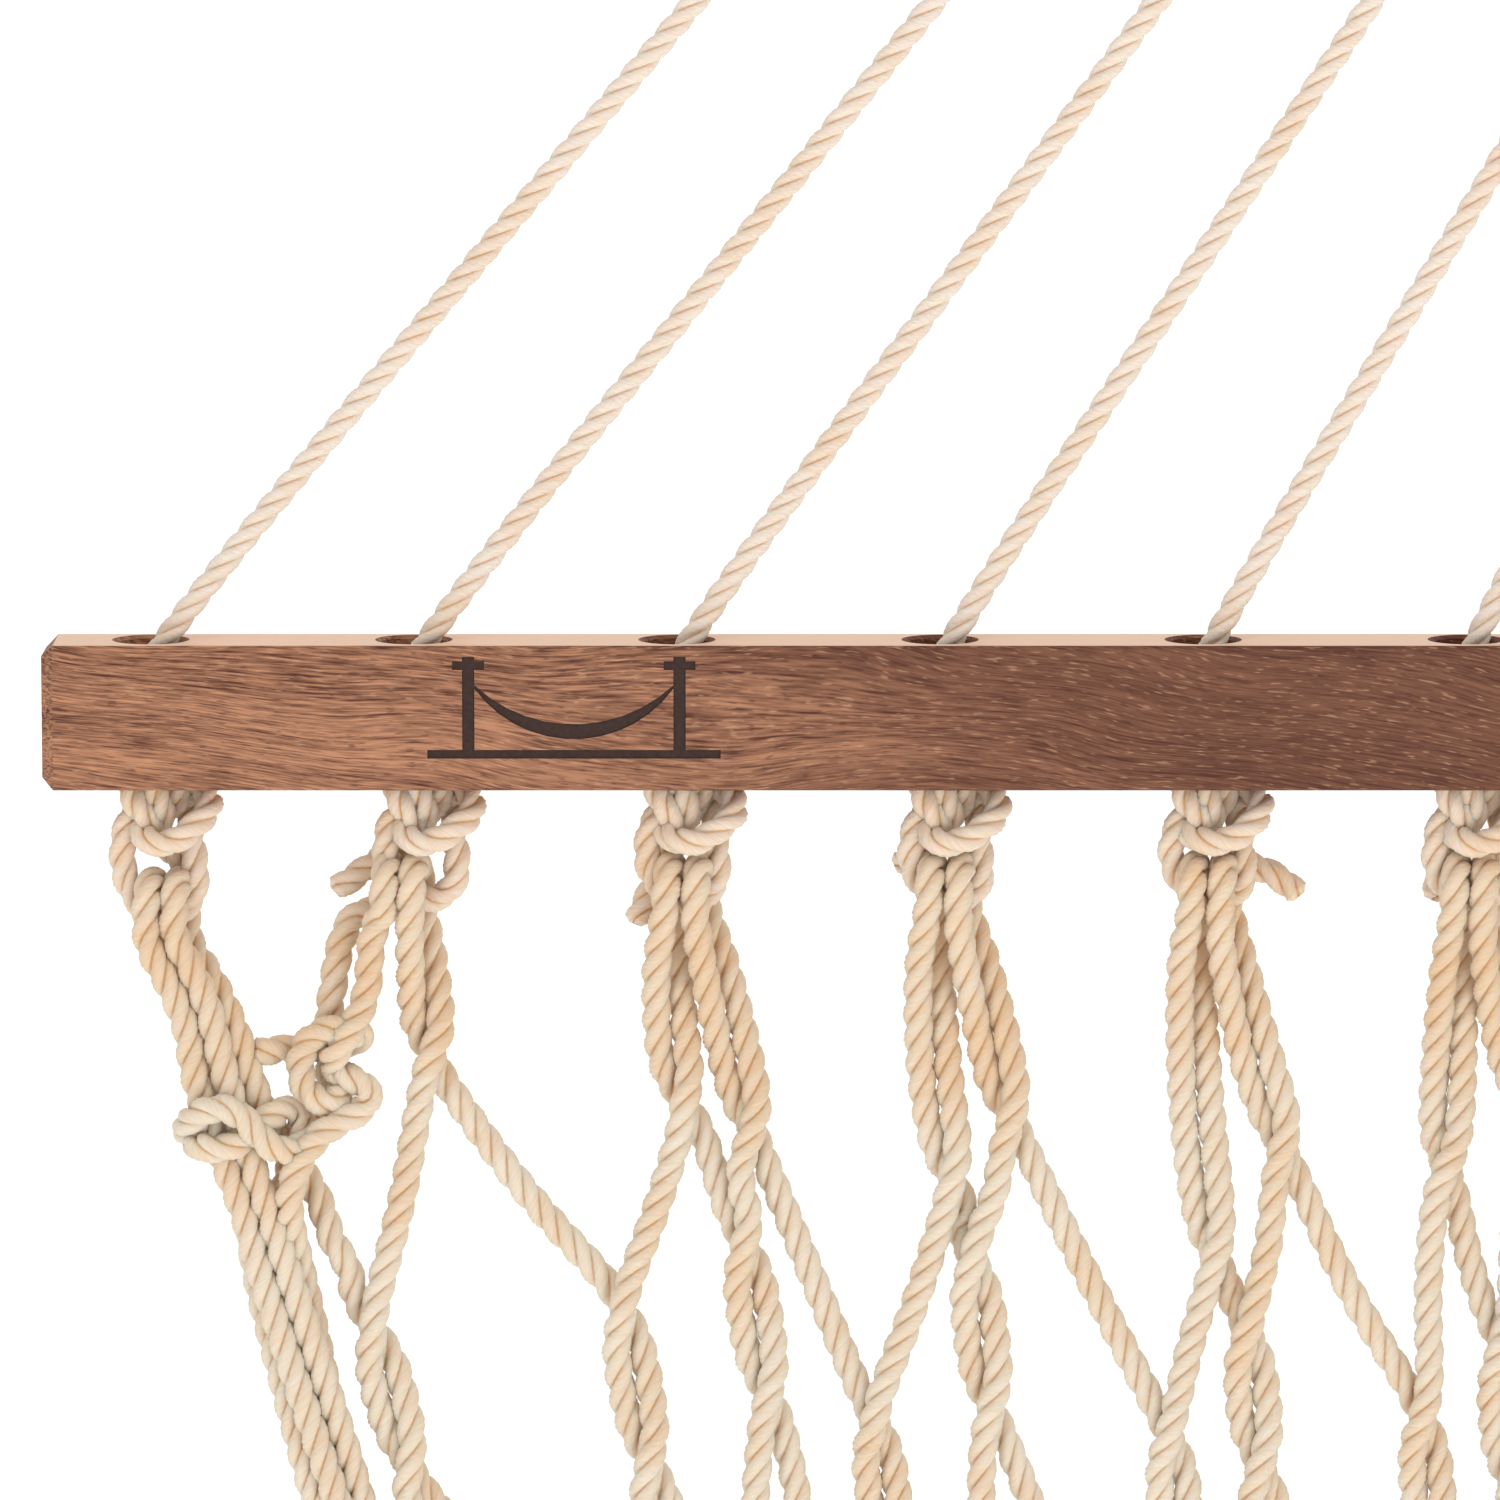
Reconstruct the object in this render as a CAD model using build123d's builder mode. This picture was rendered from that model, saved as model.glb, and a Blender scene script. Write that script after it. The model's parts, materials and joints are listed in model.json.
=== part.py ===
from build123d import *
import os
from math import cos, radians, sin, sqrt

# Rope hammock with two spreader bars, hanging straight down from its head ring.
# Millimetres, +Z up, bars along X, the marked face of the head bar towards -Y.
# Origin: the top of the head ring's eye, where the hook bears.

# spreader bars
HOLE_COUNT = 26
HOLE_PITCH = 54.0
HOLE_DIAMETER = 14.5
HOLE_CHAMFER = 0.7
BAR_END_MARGIN = 22.0
BAR_LENGTH = (HOLE_COUNT - 1) * HOLE_PITCH + 2 * BAR_END_MARGIN
BAR_HEIGHT = 30.0
BAR_DEPTH = 20.0
BAR_END_CHAMFER = 2.5
BAR_EDGE_RADIUS = 1.0

# burned mark on the head bar: two posts with a hammock slung between them
MARK_CENTRE_X = 87.0 - HOLE_PITCH * (HOLE_COUNT - 1) / 2
MARK_LIFT = 2.2
MARK_WIDTH = 60.0
MARK_HEIGHT = 21.0
MARK_LINE = 1.8
MARK_POST_WIDTH = 2.5
MARK_POST_CAP = 6.5
MARK_POST_X = 21.6
MARK_SLING_TOP = 5.9
MARK_SLING_LOW = -3.4
MARK_SLING_THICK = 3.1
MARK_DEPTH = 0.4

# rings
RING_WIRE = 9.5
RING_MEAN_RADIUS = 38.0

# clew ropes: CLEW_COUNT doubled ropes from each ring, two holes each
CLEW_COUNT = HOLE_COUNT // 2
CLEW_DIAMETER = 4.8
CLEW_FAN_HEIGHT = 797.0
CLEW_SLOT_ANGLE = 9.33
CLEW_WRAP_OFFSET = 7.6
CLEW_WRAP_RADIUS = 7.5
CLEW_HOLE_OFFSET = 4.5
CLEW_KNUCKLE = 2.5
CLEW_KNUCKLE_RADIUS = 8.0

# knot and loop under each hole; the net swings about the loops' lowest line
LOOP_RADIUS = 7.5
LINK_DROP = 24.0
KNOT_RADIUS = 7.4
KNOT_HEIGHT = 11.0
KNOT_DROP = 7.0

# bed
BED_LENGTH = 2083.0
NET_THICKNESS = 8.0
NET_END_GAP = 6.0
FOLD_GAP = 32.0
LANE_GAP = 1.0
EDGE_DIAMETER = 12.0
WAIST_SHARE = 0.12
EDGE_WAIST_SHARE = 0.093
EDGE_WAIST_POWER = 6

# heights above the link line of one end, towards its ring
BAR_INNER = LINK_DROP
BAR_OUTER = LINK_DROP + BAR_HEIGHT
RING_CENTRE = BAR_OUTER + CLEW_FAN_HEIGHT
EYE_TOP = RING_CENTRE + RING_MEAN_RADIUS - RING_WIRE / 2

HEAD_LINK_Z = -EYE_TOP
FOOT_LINK_Z = HEAD_LINK_Z - BED_LENGTH
HALF_SPAN = HOLE_PITCH * (HOLE_COUNT - 1) / 2
LANE_WIDTH = 2 * HOLE_PITCH

# each end: its name, the height of its link line, and which way its ring lies
ENDS = [("head", HEAD_LINK_Z, 1), ("foot", FOOT_LINK_Z, -1)]
# each half of the net: its name, and the distance down the bed where it starts and ends
HALVES = [
    ("upper", NET_END_GAP, BED_LENGTH / 2 - FOLD_GAP / 2),
    ("lower", BED_LENGTH / 2 + FOLD_GAP / 2, BED_LENGTH - NET_END_GAP),
]


def save(piece, name):
    piece.part.label = name
    export_step(piece.part, f"parts/{name}.step")


def hole_x(number):
    """Centre of a hole, counted from 1 at the -X end."""
    return (number - 1) * HOLE_PITCH - HALF_SPAN


def ring(link_z, way):
    with BuildPart(Plane(origin=(0, 0, link_z + way * RING_CENTRE), z_dir=(0, 1, 0))) as piece:
        Torus(RING_MEAN_RADIUS, RING_WIRE / 2)
    return piece


def spreader_bar(link_z, way):
    low_z = link_z + min(way * BAR_INNER, way * BAR_OUTER)
    with BuildPart(Plane.XY.offset(low_z)) as piece:
        Box(BAR_LENGTH, BAR_DEPTH, BAR_HEIGHT, align=(Align.CENTER, Align.CENTER, Align.MIN))
        chamfer(piece.faces().filter_by(Axis.X).edges(), BAR_END_CHAMFER)
        fillet(piece.edges().filter_by(Axis.X), BAR_EDGE_RADIUS)
        with GridLocations(HOLE_PITCH, 0, HOLE_COUNT, 1):
            Cylinder(
                HOLE_DIAMETER / 2,
                BAR_HEIGHT,
                align=(Align.CENTER, Align.CENTER, Align.MIN),
                mode=Mode.SUBTRACT,
            )
        circles = piece.edges().filter_by(GeomType.CIRCLE)
        chamfer(circles.filter_by(lambda edge: abs(edge.radius - HOLE_DIAMETER / 2) < 0.01), HOLE_CHAMFER)
    return piece


def burned_mark(bar):
    """Sinks the maker's pictogram into the bar's front face."""
    front = Plane(
        origin=(MARK_CENTRE_X, -BAR_DEPTH / 2, HEAD_LINK_Z + (BAR_INNER + BAR_OUTER) / 2 + MARK_LIFT),
        x_dir=(1, 0, 0),
        z_dir=(0, -1, 0),
    )
    left = (-MARK_POST_X, MARK_SLING_TOP)
    right = (MARK_POST_X, MARK_SLING_TOP)
    cap_y = MARK_HEIGHT / 2 - MARK_LINE
    with BuildSketch(front) as mark:
        with Locations((0, (MARK_LINE - MARK_HEIGHT) / 2)):
            Rectangle(MARK_WIDTH, MARK_LINE)
        with Locations((-MARK_POST_X, 0), (MARK_POST_X, 0)):
            Rectangle(MARK_POST_WIDTH, MARK_HEIGHT)
        with Locations((-MARK_POST_X, cap_y), (MARK_POST_X, cap_y)):
            Rectangle(MARK_POST_CAP, MARK_LINE)
        with BuildLine():
            ThreePointArc(left, (0, MARK_SLING_LOW), right)
            ThreePointArc(right, (0, MARK_SLING_LOW - MARK_SLING_THICK), left)
        make_face()
    with BuildPart() as piece:
        add(bar.part)
        extrude(mark.sketch, amount=-MARK_DEPTH, mode=Mode.SUBTRACT)
    return piece


def clew_route(number, link_z, way):
    """Corners of one doubled rope: up from a knot, over the ring's wire, and down to the next hole's knot."""
    left, right = hole_x(2 * number - 1), hole_x(2 * number)
    angle = radians((number - (CLEW_COUNT + 1) / 2) * CLEW_SLOT_ANGLE)
    reach = RING_MEAN_RADIUS - CLEW_WRAP_OFFSET
    wrap_x = reach * sin(angle)
    wrap_z = link_z + way * (RING_CENTRE - reach * cos(angle))
    knot_z = link_z + way * (LINK_DROP - KNOT_DROP)
    knuckle_z = link_z + way * (BAR_OUTER + CLEW_KNUCKLE)
    feet = []
    for x in (left, right):
        rim_x = x - CLEW_HOLE_OFFSET if x > 0 else x + CLEW_HOLE_OFFSET
        feet.append([(rim_x, 0, knot_z), (rim_x, 0, knuckle_z)])
    wrap = [(wrap_x, -CLEW_WRAP_OFFSET, wrap_z), (wrap_x, CLEW_WRAP_OFFSET, wrap_z)]
    return feet[0] + wrap + feet[1][::-1]


def clew_rope(number, link_z, way):
    corners = clew_route(number, link_z, way)
    radii = [CLEW_KNUCKLE_RADIUS, CLEW_WRAP_RADIUS, CLEW_WRAP_RADIUS, CLEW_KNUCKLE_RADIUS]
    with BuildPart() as piece:
        with BuildLine() as route:
            FilletPolyline(*corners, radius=radii)
        with BuildSketch(Plane(origin=route.line @ 0, z_dir=route.line % 0)):
            Circle(CLEW_DIAMETER / 2)
        sweep()
        for hole in (2 * number - 1, 2 * number):
            with Locations((hole_x(hole), 0, link_z + way * (LINK_DROP - KNOT_DROP))):
                Cylinder(KNOT_RADIUS, KNOT_HEIGHT)
            with Locations(Location((hole_x(hole), 0, link_z + way * LOOP_RADIUS), (90, 0, 0))):
                Torus(LOOP_RADIUS, CLEW_DIAMETER / 2)
    return piece


def lane_x(start_x, down):
    """Where a line of the net that starts at start_x lies, a distance down the bed: an arc drawn in at the waist."""
    edge_share = (abs(start_x) / HALF_SPAN) ** EDGE_WAIST_POWER
    inset = abs(start_x) * (WAIST_SHARE + EDGE_WAIST_SHARE * edge_share)
    half = BED_LENGTH / 2
    radius = (half**2 + inset**2) / (2 * inset)
    drawn_in = sqrt(radius**2 - (down - half) ** 2) - (radius - inset)
    return start_x - drawn_in if start_x > 0 else start_x + drawn_in


def lane_points(start_x, shift, start, end):
    """Three points of a lane line, moved sideways by shift, in the plane of the net, for an arc."""
    return [(lane_x(start_x, down) + shift, HEAD_LINK_Z - down) for down in (start, (start + end) / 2, end)]


def net_lane(number, start, end):
    left = (number - 1) * LANE_WIDTH - HALF_SPAN - HOLE_PITCH / 2
    left_line = lane_points(left, LANE_GAP / 2, start, end)
    right_line = lane_points(left + LANE_WIDTH, -LANE_GAP / 2, start, end)
    beside_selvedge = EDGE_DIAMETER / 2 + LANE_GAP
    if number == 1:
        left_line = lane_points(-HALF_SPAN, beside_selvedge, start, end)
    if number == CLEW_COUNT:
        right_line = lane_points(HALF_SPAN, -beside_selvedge, start, end)
    with BuildPart() as piece:
        with BuildSketch(Plane.XZ):
            with BuildLine():
                ThreePointArc(*left_line)
                Line(left_line[-1], right_line[-1])
                ThreePointArc(*right_line[::-1])
                Line(right_line[0], left_line[0])
            make_face()
        extrude(amount=NET_THICKNESS / 2, both=True)
    return piece


def selvedge(side, start, end):
    line = [(x, 0, z) for x, z in lane_points(side * HALF_SPAN, 0, start, end)]
    with BuildPart() as piece:
        with BuildLine() as route:
            ThreePointArc(*line)
        with BuildSketch(Plane(origin=route.line @ 0, z_dir=route.line % 0)):
            Circle(EDGE_DIAMETER / 2)
        sweep()
    return piece


os.makedirs("parts", exist_ok=True)

for end_name, link_z, way in ENDS:
    save(ring(link_z, way), f"{end_name}_ring")
    bar = spreader_bar(link_z, way)
    save(burned_mark(bar) if end_name == "head" else bar, f"{end_name}_bar")
    for number in range(1, CLEW_COUNT + 1):
        save(clew_rope(number, link_z, way), f"{end_name}_clew_{number:02d}")

for half_name, start, end in HALVES:
    for number in range(1, CLEW_COUNT + 1):
        save(net_lane(number, start, end), f"net_lane_{number:02d}_{half_name}")
    save(selvedge(-1, start, end), f"selvedge_left_{half_name}")
    save(selvedge(1, start, end), f"selvedge_right_{half_name}")
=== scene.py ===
import json
from math import cos, radians, sin, sqrt, tau
from random import Random

import bmesh
import bpy
import numpy as np
from bpy.props import FloatProperty, FloatVectorProperty, IntProperty, PointerProperty
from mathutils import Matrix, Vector


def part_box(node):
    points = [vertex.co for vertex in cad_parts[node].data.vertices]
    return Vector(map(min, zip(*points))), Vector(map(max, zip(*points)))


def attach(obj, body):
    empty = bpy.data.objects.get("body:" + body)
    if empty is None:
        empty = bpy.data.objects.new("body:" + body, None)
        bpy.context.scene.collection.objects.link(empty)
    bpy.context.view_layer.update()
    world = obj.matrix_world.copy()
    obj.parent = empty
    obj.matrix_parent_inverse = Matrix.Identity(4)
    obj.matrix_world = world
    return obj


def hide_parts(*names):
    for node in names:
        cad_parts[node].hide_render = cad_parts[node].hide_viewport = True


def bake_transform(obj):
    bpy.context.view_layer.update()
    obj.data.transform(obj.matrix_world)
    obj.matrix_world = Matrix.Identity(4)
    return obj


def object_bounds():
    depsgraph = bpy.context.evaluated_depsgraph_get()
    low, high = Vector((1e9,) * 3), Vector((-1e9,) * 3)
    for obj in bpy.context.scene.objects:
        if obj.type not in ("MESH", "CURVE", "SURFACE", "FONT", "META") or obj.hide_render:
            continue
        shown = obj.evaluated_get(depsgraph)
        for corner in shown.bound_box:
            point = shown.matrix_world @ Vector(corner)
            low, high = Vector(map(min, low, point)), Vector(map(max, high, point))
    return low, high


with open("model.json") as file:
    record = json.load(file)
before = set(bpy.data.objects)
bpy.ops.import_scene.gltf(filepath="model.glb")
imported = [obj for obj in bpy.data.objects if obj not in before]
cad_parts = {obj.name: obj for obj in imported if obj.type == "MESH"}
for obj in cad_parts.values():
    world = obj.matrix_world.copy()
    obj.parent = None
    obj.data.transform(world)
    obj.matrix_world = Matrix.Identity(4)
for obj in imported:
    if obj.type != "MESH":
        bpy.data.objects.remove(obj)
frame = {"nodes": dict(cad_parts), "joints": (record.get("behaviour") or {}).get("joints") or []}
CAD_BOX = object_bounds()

bl_info = {
    "name": "Rope Hammock",
    "version": (1, 0, 0),
    "blender": (4, 5, 0),
    "location": "View3D > Sidebar > Hammock",
    "description": "Spreader bars, steel rings, knotted clew ropes and an interlocked rope net",
    "category": "Object",
}

MM = 0.001
JOINTS = {joint["name"]: Vector(joint.get("pos_m", (0, 0, 0))) for joint in frame["joints"]}
HEAD_LINK_Z = JOINTS["head_loops"].z
FOOT_LINK_Z = JOINTS["foot_loops"].z
BED_LENGTH = (HEAD_LINK_Z - FOOT_LINK_Z) / MM
BAR_LOW, BAR_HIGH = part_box("head_bar")
RING_LOW, RING_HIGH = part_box("head_ring")

# The net and the ropes are laid out in millimetres: x along the bar, y through the net,
# and depth down the bed from the line where the net hangs in the head loops.
HOLES = 26
PITCH = 54.0
QUARTER = PITCH / 4
HALF_SPAN = PITCH * (HOLES - 1) / 2
CLEWS = HOLES // 2
BAR_INNER = (BAR_LOW.z - HEAD_LINK_Z) / MM
BAR_OUTER = (BAR_HIGH.z - HEAD_LINK_Z) / MM
RING_CENTRE = ((RING_LOW.z + RING_HIGH.z) / 2 - HEAD_LINK_Z) / MM
RING_WIRE = 9.5
RING_MEAN = ((RING_HIGH.z - RING_LOW.z) / MM - RING_WIRE) / 2
ROWS = 28
# How much of its distance from the middle the net is drawn in at the waist, and how much more its edge is.
WAIST_SHARE = 0.12
EDGE_WAIST_SHARE = 0.093
EDGE_WAIST_POWER = 6


class HammockSizes(bpy.types.PropertyGroup):
    net_rope: FloatProperty(
        name="Net rope", description="Diameter of the rope that the net is tied from",
        default=0.0061, unit="LENGTH",
    )
    net_lay: FloatProperty(
        name="Net rope lay", description="Length in which a strand of the net rope goes once round",
        default=0.0158, unit="LENGTH",
    )
    clew_rope: FloatProperty(
        name="Clew rope", description="Diameter of the rope between ring and bar", default=0.0051, unit="LENGTH"
    )
    clew_lay: FloatProperty(
        name="Clew rope lay", description="Length in which a strand of the clew rope goes once round",
        default=0.0166, unit="LENGTH",
    )
    clew_sag: FloatProperty(
        name="Clew sag", description="How far the outermost clew rope hangs below a straight line",
        default=0.016, unit="LENGTH",
    )
    rope_light: FloatVectorProperty(
        name="Net rope colour", description="Colour of the net rope's crests",
        default=(0.780, 0.706, 0.588), subtype="COLOR",
    )
    clew_light: FloatVectorProperty(
        name="Clew rope colour", description="Colour of the clew rope's crests",
        default=(0.812, 0.738, 0.655), subtype="COLOR",
    )
    # Painted shade: the grooves between the strands are coloured darker and warmer with this colour, standing in
    # for the shade that falls in them.
    groove_painted_shade: FloatVectorProperty(
        name="Rope grooves", description="Colour between the rope's strands",
        default=(0.72, 0.43, 0.20), subtype="COLOR",
    )
    wood_light: FloatVectorProperty(
        name="Wood", description="Light grain of the bars", default=(0.480, 0.224, 0.122), subtype="COLOR"
    )
    wood_dark: FloatVectorProperty(
        name="Dark wood", description="Dark grain of the bars", default=(0.078, 0.020, 0.010), subtype="COLOR"
    )
    seed: IntProperty(name="Seed", description="Which set of small irregularities the net has", default=7)


def sizes():
    return bpy.context.scene.hammock


# ---------------------------------------------------------------- materials


def add_node(tree, kind, values=None, **settings):
    made = tree.nodes.new(kind)
    for name, value in settings.items():
        setattr(made, name, value)
    for socket, value in (values or {}).items():
        if isinstance(value, bpy.types.NodeSocket):
            tree.links.new(value, made.inputs[socket])
        else:
            made.inputs[socket].default_value = value
    return made


def maths(tree, operation, first, second=0.0):
    return add_node(tree, "ShaderNodeMath", {0: first, 1: second}, operation=operation).outputs[0]


def remap(tree, value, low, high, to_low=0.0, to_high=1.0, smooth=True):
    kind = "SMOOTHSTEP" if smooth else "LINEAR"
    made = add_node(
        tree, "ShaderNodeMapRange",
        {"Value": value, "From Min": low, "From Max": high, "To Min": to_low, "To Max": to_high},
        interpolation_type=kind,
    )
    return made.outputs[0]


def mix(tree, factor, first, second):
    return add_node(tree, "ShaderNodeMix", {0: factor, 6: first, 7: second}, data_type="RGBA").outputs[2]


def noise(tree, where, scale, detail):
    return add_node(
        tree, "ShaderNodeTexNoise", {"Vector": where, "Scale": scale, "Detail": detail}
    ).outputs[0]


def stretched_noise(tree, where, scale, detail):
    mapped = add_node(tree, "ShaderNodeMapping", {"Vector": where, "Scale": scale}).outputs[0]
    return noise(tree, mapped, 1.0, detail)


def opaque(colour):
    return (*colour, 1.0)


def new_material(name):
    material = bpy.data.materials.new(name)
    material.use_nodes = True
    tree = material.node_tree
    tree.nodes.clear()
    shader = tree.nodes.new("ShaderNodeBsdfPrincipled")
    out = tree.nodes.new("ShaderNodeOutputMaterial")
    tree.links.new(shader.outputs[0], out.inputs[0])
    return material, tree, shader


STRANDS = 3
YARN_TURNS = 1.25
YARNS_ROUND = 2.6
# Painted shade near the bars: the distances from a bar's link line over which it fades out, and its strength
# next to the bar.
BAR_SHADE_REACH = (0.022, 0.050)
BAR_SHADE_STRENGTH = 0.20


def rope_group():
    """Colour and relief of laid cotton: three strands, the yarns in them, and a soft nap."""
    group = bpy.data.node_groups.get("laid_cotton")
    if group:
        return group
    group = bpy.data.node_groups.new("laid_cotton", "ShaderNodeTree")
    for name, way, kind in (
        ("Crest", "INPUT", "NodeSocketColor"), ("Groove", "INPUT", "NodeSocketColor"),
        ("Warmth", "INPUT", "NodeSocketFloat"),
        ("Colour", "OUTPUT", "NodeSocketColor"), ("Height", "OUTPUT", "NodeSocketFloat"),
    ):
        group.interface.new_socket(name, in_out=way, socket_type=kind)
    given = group.nodes.new("NodeGroupInput")
    out = group.nodes.new("NodeGroupOutput")
    uv = group.nodes.new("ShaderNodeUVMap")
    along, around, _ = add_node(group, "ShaderNodeSeparateXYZ", {0: uv.outputs[0]}).outputs
    strand = maths(group, "FRACT", maths(group, "MULTIPLY", around, STRANDS))
    crest = maths(group, "ABSOLUTE", maths(group, "SUBTRACT", strand, 0.5))
    groove = remap(group, maths(group, "MULTIPLY", crest, 2.0), 0.0, 0.24, 1.0, 0.0)

    # The yarns wind round each strand.
    yarn_turn = maths(group, "ADD", around, maths(group, "MULTIPLY", along, YARN_TURNS))
    yarn_turn = maths(group, "MULTIPLY", yarn_turn, tau)
    ring = add_node(
        group, "ShaderNodeCombineXYZ",
        {
            0: maths(group, "MULTIPLY", maths(group, "COSINE", yarn_turn), YARNS_ROUND),
            1: maths(group, "MULTIPLY", maths(group, "SINE", yarn_turn), YARNS_ROUND),
            2: maths(group, "MULTIPLY", along, 1.1),
        },
    ).outputs[0]
    yarns = noise(group, ring, 2.9, 3.0)
    here = group.nodes.new("ShaderNodeTexCoord").outputs["Object"]
    nap = noise(group, here, 1500.0, 2.0)
    patches = noise(group, here, 45.0, 2.0)
    yarn_shade = maths(group, "MULTIPLY", remap(group, yarns, 0.38, 0.60, 0.46, 0.0), 0.62)
    # The grooves between the strands get painted shade; the yarns add their own darker streaks.
    shade = maths(group, "MAXIMUM", maths(group, "MULTIPLY", groove, 0.80), yarn_shade)

    # Painted shade: ropes near a bar are tinted towards the groove colour, standing in for the bar's shade and
    # the warm light it bounces onto them.
    z = add_node(group, "ShaderNodeSeparateXYZ", {0: here}).outputs[2]
    from_head = maths(group, "ABSOLUTE", maths(group, "SUBTRACT", z, HEAD_LINK_Z))
    from_foot_end = maths(group, "ABSOLUTE", maths(group, "SUBTRACT", z, FOOT_LINK_Z))
    from_bar = maths(group, "MINIMUM", from_head, from_foot_end)
    painted_bar_shade = remap(group, from_bar, *BAR_SHADE_REACH, BAR_SHADE_STRENGTH, 0.0)
    warm = remap(group, patches, 0.42, 0.68, 0.0, 0.28)
    warm = maths(group, "MULTIPLY", warm, given.outputs["Warmth"])
    warm = maths(group, "ADD", warm, painted_bar_shade)
    shade = maths(group, "MINIMUM", maths(group, "ADD", shade, warm), 1.0)
    colour = mix(group, shade, given.outputs["Crest"], given.outputs["Groove"])
    height = maths(group, "ADD", maths(group, "MULTIPLY", yarns, 0.55), maths(group, "MULTIPLY", nap, 0.22))
    height = maths(group, "SUBTRACT", height, maths(group, "MULTIPLY", groove, 0.5))
    group.links.new(colour, out.inputs["Colour"])
    group.links.new(height, out.inputs["Height"])
    return group


def rope_material(name, crest, warmth):
    found = bpy.data.materials.get(name)
    if found:
        return found
    material, tree, shader = new_material(name)
    cotton = add_node(tree, "ShaderNodeGroup", node_tree=rope_group())
    cotton.inputs["Crest"].default_value = opaque(crest)
    cotton.inputs["Groove"].default_value = opaque(sizes().groove_painted_shade)
    cotton.inputs["Warmth"].default_value = warmth
    bump = add_node(
        tree, "ShaderNodeBump", {"Strength": 0.55, "Distance": 0.0005, "Height": cotton.outputs["Height"]}
    )
    tree.links.new(cotton.outputs["Colour"], shader.inputs["Base Color"])
    tree.links.new(bump.outputs[0], shader.inputs["Normal"])
    shader.inputs["Roughness"].default_value = 0.92
    shader.inputs["Sheen Weight"].default_value = 0.18
    shader.inputs["Sheen Roughness"].default_value = 0.45
    shader.inputs["Specular IOR Level"].default_value = 0.2
    shader.inputs["Subsurface Weight"].default_value = 0.45
    shader.inputs["Subsurface Radius"].default_value = (1.0, 0.62, 0.30)
    shader.inputs["Subsurface Scale"].default_value = 0.0020
    return material


# Where the dark heartwood and the pale sapwood lie along the bar.
HEART_PHASE = 3.05
HEART_LENGTH = 0.56
# The burned mark: its middle from the first hole and from the bar's axis, and half its size with a margin.
MARK_FROM_HOLE = 87.0
MARK_LIFT = 2.2
MARK_REACH = (31.0, 11.0)
END_GRAIN = ((0.26, 0.11, 0.06, 1), (0.55, 0.33, 0.22, 1))
CHAR = ((0.018, 0.008, 0.006, 1), (0.060, 0.028, 0.020, 1))
# Painted highlight colour for the bar's faces that look up.
TOP_LIGHT_WOOD = (0.96, 0.65, 0.46, 1)
PALE_FLECK = (0.62, 0.35, 0.20, 1)
DARK_PORE = (0.075, 0.022, 0.012, 1)


def burned_mask(tree, x, y, z):
    """1 on the sunk faces of the mark, and 0 elsewhere."""
    mark_x = (MARK_FROM_HOLE - HALF_SPAN) * MM
    mark_z = (BAR_LOW.z + BAR_HIGH.z) / 2 + MARK_LIFT * MM
    mask = maths(tree, "GREATER_THAN", y, BAR_LOW.y + 0.15 * MM)
    mask = maths(tree, "MULTIPLY", mask, maths(tree, "LESS_THAN", y, BAR_LOW.y + 0.6 * MM))
    for along, middle, reach in ((x, mark_x, MARK_REACH[0]), (z, mark_z, MARK_REACH[1])):
        away = maths(tree, "ABSOLUTE", maths(tree, "SUBTRACT", along, middle))
        mask = maths(tree, "MULTIPLY", mask, maths(tree, "LESS_THAN", away, reach * MM))
    return mask


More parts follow.
